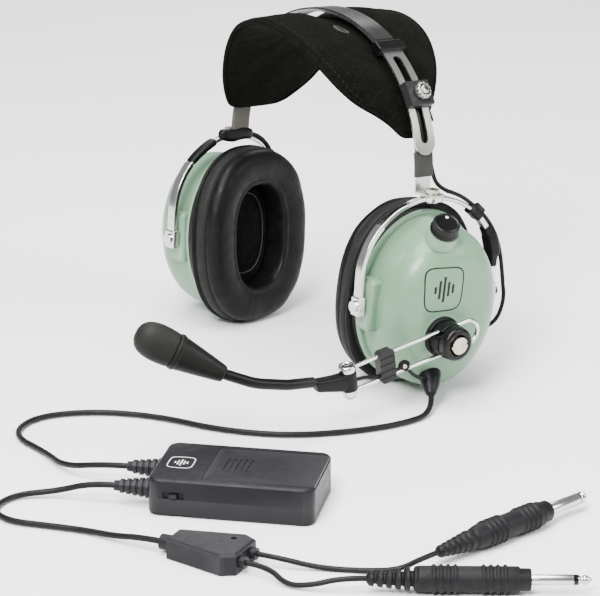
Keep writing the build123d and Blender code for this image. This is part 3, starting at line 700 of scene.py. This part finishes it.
# ------------------------------------------------------------ ear seals
SEAL_PROFILE = (   # x, inset from the outer outline, material
    (-13.0, 3.0, 0), (-13.0, 1.0, 0), (-13.5, -0.1, 0), (-14.6, -0.5, 0), (-15.6, 0.1, 0), (-16.1, 1.5, 0),
                (-16.7, 1.5, 1), (-17.2, 0.5, 1),
    (-18.4, 0.1, 1), (-20.6, 0.1, 1), (-22.6, 0.5, 1), (-23.4, 1.1, 1), (-23.7, 2.2, 0), (-24.3, 2.3, 0), (-24.8, 1.3, 0),
                (-26.2, 1.2, 0),
    (-28.2, 1.5, 0), (-30.4, 2.8, 0), (-32.1, 5.2, 0), (-32.9, 8.4, 0), (-33.0, 12.0, 0), (-32.6, 15.0, 0),
                (-31.9, 17.3, 0),
    (-31.2, 18.6, 0), (-31.4, 19.3, 0), (-31.5, 20.6, 0), (-30.6, 21.9, 0), (-28.5, 22.6, 0), (-25.0, 22.9, 0),
                (-21.0, 22.9, 0), (-17.0, 22.7, 0),
    (-14.0, 22.5, 0), (-13.0, 21.5, 0), (-13.0, 14.0, 0), (-13.0, 8.0, 0))


def oval(a, b, t, power):
    c, s = math.cos(t), math.sin(t)
    return a * math.copysign(abs(c) ** (2 / power), c), b * math.copysign(abs(s) ** (2 / power), s)


def ear_seal(side):
    place = CUP if side == "left" else MIRROR @ CUP
    seed = 0.0 if side == "left" else 9.0
    rings, marks, around = [], [], 120
    for k in range(around):
        t = 2 * math.pi * k / around
        ring = []
        for x, inset, kind in SEAL_PROFILE:
            power = 2.34 + 0.16 * smooth(inset / 22)
            puff = 0.35 * noise.noise(Vector((3.2 * math.cos(t), 3.2 * math.sin(t), x * 0.13 + seed)))
            fold = 0.30 * noise.noise(Vector((15 * math.cos(t), 15 * math.sin(t),
                                              x * 0.22 + seed))) * smooth((-x - 23) / 3) * smooth(inset / 4)
            y, z = oval(43 - inset + puff, 54 - inset + puff, t, power)
            q = spot(place, x - puff - fold, y, z + CUP_Z)
            q.z = max(q.z, 0.0002 + 0.0004 * smooth(inset / 10))
            ring.append(q)
        rings.append(ring)
        marks.append([kind for _, _, kind in SEAL_PROFILE])
    seal = skin(f"{side}_ear_cushion", rings, [SEAL, BAND], closed=True, marks=marks, levels=1)
    fit(seal, f"{side}_cup", f"{side}_ear_seal")

    rings = []
    for x, share in ((-13.2, 0.98), (-14.6, 1.02), (-16.2, 1.0), (-17.0, 0.93), (-16.6, 0.84), (-15.4, 0.78),
                     (-15.2, 0.70),
                     (-16.4, 0.62), (-17.1, 0.50), (-17.3, 0.34), (-17.2, 0.18), (-17.2, 0.04)):
        ring = []
        for k in range(72):
            t = 2 * math.pi * k / 72
            y, z = oval(20 * share, 31 * share, t, 2.4)
            wob = 0.25 * noise.noise(Vector((y * 0.22, z * 0.22, seed)))
            ring.append(spot(place, x - wob, y, z + CUP_Z))
        rings.append(ring)
    foam = skin(f"{side}_foam_liner", rings, FOAM, levels=1)
    fit(foam, f"{side}_cup", f"{side}_liner_foam")
    # A thin piping ring round the liner: its shape is real, and its light grey colour is a painted highlight along the
    # liner's edge.
    edge = []
    for k in range(96):
        t = 2 * math.pi * k / 96
        y, z = oval(20 * 0.80, 31 * 0.80, t, 2.4)
        ring = []
        for j in range(8):
            u = 2 * math.pi * j / 8
            w = 1 + 0.42 * math.cos(u) / 24
            ring.append(spot(place, -16.3 + 0.42 * math.sin(u), y * w, z * w + CUP_Z))
        edge.append(ring)
    bead = skin(f"{side}_liner_highlight_bead", edge, GREY, closed=True)
    fit(bead, f"{side}_cup")


for side in ("left", "right"):
    ear_seal(side)


# ------------------------------------------------------------ head pad
PAD_A0, PAD_A1 = 18.5, 169.5
PAD_ROWS = ((18.5, 9, 9, 0.4, 0.4), (27, 20, 12, 0.4, 0.4), (36, 38, 21, 0.4, 0.2), (49, 48, 32, 0.2, -0.8),
            (68, 53, 42, -1.0, -2.2),
            (90, 52, 48, -2.4, -2.8), (112, 46, 53, -2.8, -2.4), (132, 36, 54, -1.4, -1.0), (147, 28, 52, -0.2, 0.2),
            (160, 20, 43, 0.4, 0.4), (169.5, 12, 24, 0.4,
                                      0.4))   # angle, front and rear half widths, front and rear drops


def pad_shape(a):
    """Front and rear half widths and drops at an angle on the band, and how far it is from the pad's ends."""
    i = next((k for k, row in enumerate(PAD_ROWS[1:-1]) if a < row[0]), len(PAD_ROWS) - 2)
    p0, p1, p2, p3 = (PAD_ROWS[min(max(i + k, 0), len(PAD_ROWS) - 1)] for k in (-1, 0, 1, 2))
    t = min(1.0, max(0.0, (a - p1[0]) / (p2[0] - p1[0])))
    out = []
    for k in range(1, 5):
        m1, m2 = (p2[k] - p0[k]) * (p2[0] - p1[0]) / (p2[0] - p0[0]), (p3[k] - p1[k]) * (p2[0] - p1[0]) / (p3[0] - p1[0])
        near = (2 * t ** 3 - 3 * t * t + 1) * p1[k] + (t ** 3 - 2 * t * t + t) * m1
        out.append(near + (3 * t * t - 2 * t ** 3) * p2[k] + (t ** 3 - t * t) * m2)
    return *out, math.sin(math.pi * min(1.0, max(0.0, (a - PAD_A0) / (PAD_A1 - PAD_A0))))


def pad_radii(a, v):
    wf, wr, df, dr, s = pad_shape(a)
    w, d = (wf, df) if v < 0 else (wr, dr)
    y = v * w
    top = 79.9 - d * v * v
    ridge = (3.0 if v < 0 else 4.4) * smooth((abs(y) - 9.8) / 7) * (1 - smooth((abs(v) - 0.5) / 0.5)) * smooth(s * 2.2)
    thick = (4.0 + 2.4 * smooth(s * 1.6)) * (1 - 0.38 * abs(v) ** 3)
    return y, top + ridge, top - thick


def band_point(a, r, y):
    t = math.radians(a)
    return spot(LEAN, r * math.cos(t), y, BAND_Z + r * math.sin(t))


rings, steps = [], 84
cross_v = [math.sin(math.pi / 2 * (-1 + 2 * k / 21)) for k in range(22)]
for i in range(steps + 1):
    a = PAD_A0 + (PAD_A1 - PAD_A0) * i / steps
    outer = [band_point(a, pad_radii(a, v)[1], pad_radii(a, v)[0]) for v in cross_v]
    inner = [band_point(a, pad_radii(a, v)[2], pad_radii(a, v)[0] * 0.985) for v in reversed(cross_v)]
    rings.append(outer + inner)
pad = skin("head_cushion", rings, VELOUR)
BACK = LEAN.inverted()


def on_pad(co):
    """Angle, radius and cross position of a point of the pad, and how far it is towards an edge."""
    q = (BACK @ Vector(co)) / MM
    a = math.degrees(math.atan2(q.z - BAND_Z, q.x))
    r = math.hypot(q.x, q.z - BAND_Z)
    wf, wr, _, _, s = pad_shape(min(max(a, PAD_A0), PAD_A1))
    return a, r, q.y, abs(q.y) / (wf if q.y < 0 else wr)


def pad_held(co):
    a, r, y, v = on_pad(co)
    edge = smooth((v - 0.86) / 0.08)
    strap = (1 - smooth((abs(y) - 9.0) / 3)) if r > 77.5 else 0.0
    ends = 1 - smooth((min(a - PAD_A0, PAD_A1 - a) - 1.5) / 5)
    return max(edge, strap, ends)


swell(pad, 2.7, 4.0, 3.6, pad_held)
ruffle(pad, ((21, 1.1), (9, 0.55), (4.2, 0.22)), keep=lambda co: 1 - 0.85 * pad_held(co))
sub = pad.modifiers.new("round", "SUBSURF")
sub.levels = sub.render_levels = 1
fit(pad, "headband", "head_pad")

hem = []
for rows in ([(PAD_A0 + 1 + 4.95 * k, -1) for k in range(31)], [(PAD_A1 - 0.6, v) for v in (-0.5, 0, 0.5)],
             [(PAD_A1 - 1 - 4.95 * k, 1) for k in range(31)], [(PAD_A0 + 0.6, v) for v in (0.5, 0, -0.5)]):
    for a, v in rows:
        y, top, low = pad_radii(a, v)
        hem.append(band_point(a, (top + low) / 2, y))
rope = curve("hem_line", hem, 2.6 * MM, VELOUR)
rope.data.splines[0].use_endpoint_u = False
rope.data.splines[0].use_cyclic_u = True
bpy.context.view_layer.update()
hem_mesh = bpy.data.meshes.new_from_object(rope.evaluated_get(bpy.context.evaluated_depsgraph_get()))
bpy.data.objects.remove(rope)
binding = bpy.data.objects.new("head_cushion_binding", hem_mesh)
bpy.context.scene.collection.objects.link(binding)
for p in hem_mesh.polygons:
    p.use_smooth = True
fit(binding, "headband")

pad_tree = tree_of(pad)
verts, faces = [], []
for v in (-0.91, 0.89):
    a = 24.0
    while a < 163:
        y = pad_radii(a, v)[0]
        y2 = pad_radii(a + 1.5, v)[0]
        outside, inside = band_point(a, 100, y), band_point(a, 60, y)
        ahead = band_point(a + 1.5, 100, y2)
        hit, n, _, _ = pad_tree.ray_cast(outside, (inside - outside).normalized())
        if hit is not None:
            d = (ahead - outside).normalized()
            side = d.cross(n).normalized()
            base = len(verts)
            for along, wide, tall in ((-1.15, 0.1, -0.2), (-0.6, 0.3, 0.22), (0.6, 0.3, 0.22), (1.15, 0.1, -0.2)):
                for s, h in ((-1, 0.3), (-0.6, 1.0), (0.6, 1.0), (1, 0.3)):
                    verts.append(hit + (d * along + side * s * wide + n * tall * h) * MM)
            for i in range(3):
                for j in range(3):
                    p = base + 4 * i + j
                    faces.append((p, p + 1, p + 5, p + 4))
        a += 2.35
stitches = build("head_cushion_stitches", verts, faces, BINDING)
fit(stitches, "headband")

SNAP_A, SNAP_Y = 73.0, -17.0
outside = band_point(SNAP_A, 100, SNAP_Y)
hit, n, _, _ = pad_tree.ray_cast(outside, (band_point(SNAP_A, 60, SNAP_Y) - outside).normalized())
snap_place = Matrix.Translation(hit) @ n.to_track_quat("Z", "Y").to_matrix().to_4x4()
snap = lathe("cushion_snap", snap_place, [(4.0, -1.2), (4.9, -0.6), (5.2, 0.1), (4.9, 0.75), (4.3, 0.8), (4.0, 0.35),
                                          (3.6, 0.15), (2.4, 0.28), (0.5, 0.32)],
             GREY, 40, levels=1)
fit(snap, "headband")
core = lathe("cushion_snap_felt", snap_place, [(3.7, -0.6), (3.75, 0.35), (3.2, 0.55), (1.8, 0.62), (0.4, 0.64)], VELOUR,
             32, levels=1)
fit(core, "headband")

# the crossover cable's run between the pad and the band
over, _ = hose("crossover_under_band", [band_point(a, 81.4, 11.4) for a in (24, 40, 60, 75, 90, 105, 120, 140, 156)],
               THIN * MM, CORD)
fit(over, "headband")

# ------------------------------------------------------------ volume knob
knob_profile = [(3.4, 0.6), (7.9, 0.7), (8.35, 0.9), (8.4, 1.9), (8.0, 2.4, 0, 0), (7.95, 2.8, 0.5, 0),
                (7.8, 6.0, 0.55, 0), (7.7, 6.6, 0.4, 0),
                (7.2, 7.1, 0, 0), (6.6, 7.25, 0, 0), (6.3, 7.0, 0, 0), (5.9, 6.9, 0, 0), (3.5, 6.95, 0, 0),
                (0.4, 7.0, 0, 0)]
knob = lathe("volume_dial", VOLUME @ shift(0, 0, 7.4), knob_profile, KNOB, 120, flutes=30)
fit(knob, "volume_knob", "volume_knob")
dot = lathe("volume_dial_dot", VOLUME @ shift(-3.9, 2.0, 14.3), [(0.95, -0.1), (1.0, 0.05), (0.85, 0.2), (0.3, 0.26)],
            PRINT_LIGHT, 24, levels=1)
fit(dot, "volume_knob")

clamp_profile = [(5.6, 0.0), (9.2, 0.05), (9.75, 0.5), (9.8, 1.0, 0.28, 0), (9.8, 3.0, 0.34, 0), (9.7, 4.6, 0.28, 0),
                 (9.3, 5.6, 0.1, 0),
                 (8.5, 6.25), (7.2, 6.45), (6.2, 6.3), (5.7, 5.6), (5.5, 4.9), (1.7, 4.8), (1.6, 0.2)]
clamp = lathe("boom_knob", BOOM @ shift(10.8, 0, 0) @ LIE, clamp_profile, KNOB, 156, flutes=52)
fit(clamp, "boom_clamp_knob", "boom_clamp_knob")

# ------------------------------------------------------------ cable boot on the left dome
GLAND = [Vector(p) * MM for p in ((108.5, -11.8, 18.8), (111.5, -14.2, 16.8), (115.0, -17.2, 15.2),
                                  (119.0, -20.4, 12.4), (121.6, -22.5, 9.8), (123.4, -23.9, 8.0))]
rings = []
for k, (p, r) in enumerate(zip(GLAND, (5.8, 6.5, 6.3, 5.0, 3.4, 2.4))):
    ahead = (GLAND[min(k + 1, 5)] - GLAND[max(k - 1, 0)]).normalized()
    side = ahead.cross(Vector((0, 0, 1))).normalized()
    lift = side.cross(ahead).normalized()
    turns = [2 * math.pi * j / 20 for j in range(20)]
    rings.append([p + (side * math.cos(t) + lift * math.sin(t) * 0.86) * r * MM for t in turns])
boot = skin("cable_boot", rings, CORD, levels=2)
fit(boot, "left_cup", "main_strain_relief")

# ------------------------------------------------------------ microphone
GEND, GDIR = Vector((22.5, -165.5, -12.1)), Vector((-7.5, -13.5, 6.4)).normalized()
MIC = CUP @ Matrix.Translation(GEND * MM) @ GDIR.to_track_quat("Z", "Y").to_matrix().to_4x4()
mic_side = MIC.to_3x3().inverted() @ (CUP.to_3x3() @ Vector((1, 0, 0)))
MIC = MIC @ turn("Z", math.degrees(math.atan2(mic_side.y, mic_side.x)))


def capsule(name, rows, mat, levels=2, power=2.3):
    """A moulded body along MIC's +Z: rows of (half width, half depth, height)."""
    return skin(name, [[spot(MIC, x * w, y * h, z) for x, y in squircle(1, 1, power, 32)] for w, h, z in rows], mat,
                levels=levels)


sleeve = capsule("microphone_sleeve", [(3.3, 3.3, -17.5), (4.4, 4.4, -17.3), (4.7, 4.7, -16.5), (4.9, 5.1, -15),
                                       (6.0, 6.4, -8), (7.3, 7.9, 0), (8.4, 9.0, 6.5), (8.9, 9.5, 9.4),
                                       (9.4, 10.0, 9.6), (9.6, 10.2, 10.8), (9.4, 10.0, 12.3), (8.8, 9.4, 12.5),
                                       (8.6, 9.2, 13.0)], BOOT_BLACK)
fit(sleeve, "mic_arm", "mic_boot")
tip_rows = [(8.5, 9.1, 12.6), (8.9, 9.6, 12.9), (9.1, 9.9, 14.5), (9.2, 10.3, 19), (8.9, 10.3, 24), (8.2, 9.5, 28.5),
            (6.6, 7.9, 32), (4.2, 5.2, 34.3), (1.6, 2.0, 35.2)]
muff = capsule("microphone_cover", tip_rows, BOOM_BLACK)
fit(muff, "mic_arm", "mic_head")

# ------------------------------------------------------------ sleeves on the straps and yoke arms
def strap_sleeve(side, a0, a1, half, mat):
    rings = []
    for k in range(15):
        a = math.radians(a0 + (a1 - a0) * k / 14)
        ring = []
        for c, w in squircle(1.35, half, 5.0, 40):
            q = up((82.5 + c) * math.cos(a), w + 0.4, BAND_Z + (82.5 + c) * math.sin(a))
            ring.append(Vector((q.x if side == "left" else -q.x, q.y, q.z)))
        rings.append(ring)
    ob = skin(f"{side}_strap_cover", rings, mat)
    fit(ob, f"{side}_strap", f"{side}_strap_sleeve")


strap_sleeve("left", 2.6, 12.4, 6.6, GREY)
strap_sleeve("right", -1.0, 15.0, 6.4, TAN)


def arm_sleeve(name, side, rows, mat):
    """A moulded sleeve round a yoke arm: rows of (arm angle, half width across the arm, half depth, offset)."""
    rings = []
    for t, w, d, off in rows:
        ring = []
        for c, e in squircle(d, w, 3.4, 32):
            q = by_arm(t, c + off, e)
            ring.append(Vector((q.x if side == "left" else -q.x, q.y, q.z)))
        rings.append(ring)
    ob = skin(name, rings, mat, levels=1)
    fit(ob, f"{side}_yoke", f"{side}_yoke_sleeve")


arm_sleeve("left_arm_cover", "left", [(-2, 3.2, 2.2, 0), (-1.6, 3.5, 2.5, 0), (5, 3.6, 2.6, 0.1), (7, 4.2, 3.2, 0.4),
                                      (7.4, 4.6, 3.9, 0.8), (15, 4.7, 4.1, 1.0),
                                     (23, 4.6, 3.9, 0.8), (23.4, 4.2, 3.2, 0.4), (26, 3.6, 2.7, 0.1), (32, 3.4, 2.5, 0),
                                      (32.5, 3.1, 2.1, 0)], BLACK)
arm_sleeve("right_arm_cover", "right", [(108, 2.9, 1.7, 0), (108.6, 3.2, 2.1, 0), (113, 3.3, 2.2, 0), (126, 3.2, 2.1, 0),
                                        (136, 3.1, 2.0, 0), (136.6, 2.8, 1.6, 0)], BLACK)


CLAMP_A, CLAMP_R = 34.0, 90.8     # the nut's seat: angle on the band, radius from its centre


def clamp_nut(side):
    a = math.radians(CLAMP_A)
    place = LEAN @ shift(CLAMP_R * math.cos(a), 0, BAND_Z + CLAMP_R * math.sin(a)) @ turn("Y", 90 - CLAMP_A)
    if side == "right":
        place = MIRROR @ place
    rows = [(1.45, 0.0, 0, 0), (4.0, 0.05, 0, 0), (4.7, 0.4, 0.5, 0), (5.0, 0.9, 1.0, 0), (5.0, 3.4, 1.0, 0),
            (4.7, 4.1, 0.8, 0), (4.1, 4.5, 0.1, 0), (3.5, 4.6, 0, 1),
            (3.1, 4.2, 0, 1), (2.9, 3.9, 0, 1), (2.7, 4.1, 0, 0), (2.6, 4.9, 0, 0), (2.2, 5.3, 0, 0), (1.2, 5.5, 0, 1),
            (0.3, 5.5, 0, 1)]
    ob = lathe(f"{side}_thumb_nut", place, rows, [STEEL, GLOSS], 96, flutes=12)
    fit(ob, f"{side}_clamp_nut", f"{side}_clamp_nut")


for side in ("left", "right"):
    clamp_nut(side)

body_rows = ((-21.8, 4.9, 2.2, 2.4), (-21.6, 4.85, 3.1, 3.3), (-20.9, 4.7, 3.6, 3.8), (-18.0, 4.0, 3.7, 4.0),
             (-14.5, 3.1, 3.8, 4.3), (-10.5, 1.9, 3.9, 4.7),
             (-6.0, 0.8, 4.0, 5.1), (-1.5, 0.2, 4.1, 5.3), (2.0, 0.0, 3.4, 5.3),
             (2.6, 0.0, 2.4, 4.6))   # along the boom, rise, half width, half height
rings = [[spot(BOOM, 7 + x * w, YB + y - z * h * 0.12, rise + z * h) for x, z in squircle(1, 1, 3.6, 36)] for y, rise, w,
         h in body_rows]
bracket = skin("bracket_body", rings, BLACK, levels=1)
fit(bracket, "mic_arm", "mic_bracket")
eye = lathe("bracket_eye", BOOM @ shift(7, YB, 0), [(1.75, -5.6), (4.4, -5.6), (4.85, -5.1), (4.9, -4.4), (4.9, 4.4),
                                                    (4.85, 5.1), (4.4, 5.6), (1.75, 5.6)], BLACK, 40)
fit(eye, "mic_arm")

bolt_rows = [(0.4, -10.7, 0, 0), (2.6, -10.6, 0, 0), (3.5, -9.9, 0, 0), (3.6, -8.2, 0, 0), (3.5, -6.4, 0, 0),
             (2.6, -5.8, 0, 0), (1.65, -5.6, 0, 0), (1.65, 5.5, 0, 0), (3.4, 5.6, 0, 0),
             (4.6, 5.8, 0, 0), (4.9, 6.4, 0, 0), (4.9, 8.6, 0, 0), (4.5, 9.5, 0, 0), (3.7, 9.8, 0, 0), (3.1, 9.6, 0, 0),
             (2.7, 8.9, 0, 1), (2.4, 7.4, 0, 1), (0.4, 7.3, 0, 1)]
bolt = lathe("bracket_bolt", BOOM @ shift(7, YB, 0), bolt_rows, [CHROME, GLOSS], 48)
fit(bolt, "boom_arm", "mic_bracket_screw")

# ------------------------------------------------------------ prints
dome_tree = tree_of(NODES["left_dome_shell"])
mark = CUP @ shift(70, -9.3, 14.2) @ Matrix(((0, 0, 1, 0), (1, 0, 0, 0), (0, 1, 0, 0), (0, 0, 0, 1)))
bars = [(between((x, -h), (x, h)), 1.5, False) for x, h in ((-6, 2.0), (-3, 5.2), (0, 7.4), (3, 4.2), (6, 2.6))]
emblem = printed("dome_mark", dome_tree, mark, [(squircle(12.6, 12.6, 4.4), 0.75, True), *bars], PRINT_DARK)
fit(emblem, "left_cup")

box_tree = tree_of(NODES["box_upper_shell"])
panel = BOX @ shift(-30.5, -2.0, 60)
bars = [(between((x, -h), (x, h)), 0.8, False) for x, h in ((-3.2, 1.1), (-1.6, 2.8), (0, 4.0), (1.6, 2.3), (3.2, 1.4))]
label = printed("box_mark", box_tree, panel, [(squircle(6.6, 7.4, 4.4), 0.55, True), *bars], PRINT_LIGHT, 0.05)
fit(label, "left_yoke")

# ------------------------------------------------------------ microphone boom details
arm_lead, _ = hose("boom_lead", route(BOOM, (7, -66, -1.0), (7.0, -58, -1.6), (7.2, -52, -4.2), (7.2, -46, -5.0),
                                      (7.0, -38, -5.2),
                                    (7.0, -33, -5.6)), 2.2 * MM, CORD)
fit(arm_lead, "boom_arm")
ring_place = BOOM @ shift(7.2, -31.2, -4.6) @ turn("Y", 90) @ turn("X", 12)
terminal = lathe("boom_lead_terminal", ring_place, [(1.5, -1.1), (3.2, -1.0), (3.6, -0.3), (3.6, 0.5), (3.2, 1.1),
                                                    (2.1, 1.2), (1.5, 1.3), (1.4, 0.8)], BLACK, 32, levels=1)
fit(terminal, "boom_arm")
rivet = lathe("boom_lead_rivet", ring_place, [(0.8, -1.3), (1.5, -1.2), (1.5, 1.5), (1.1, 1.8), (0.3, 1.9)], BRASS, 24,
              levels=1)
fit(rivet, "boom_arm")
loop, _ = hose("boom_lead_loop", route(BOOM, (6.6, -29.5, -6.6), (5.4, -26.0, -12.0), (3.4, -19.5, -18.4),
                                       (1.4, -13.2, -22.0),
                                     (-0.6, -7.0, -23.0), (-3.6, -2.5, -23.0)), 2.2 * MM, CORD)
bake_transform(loop)
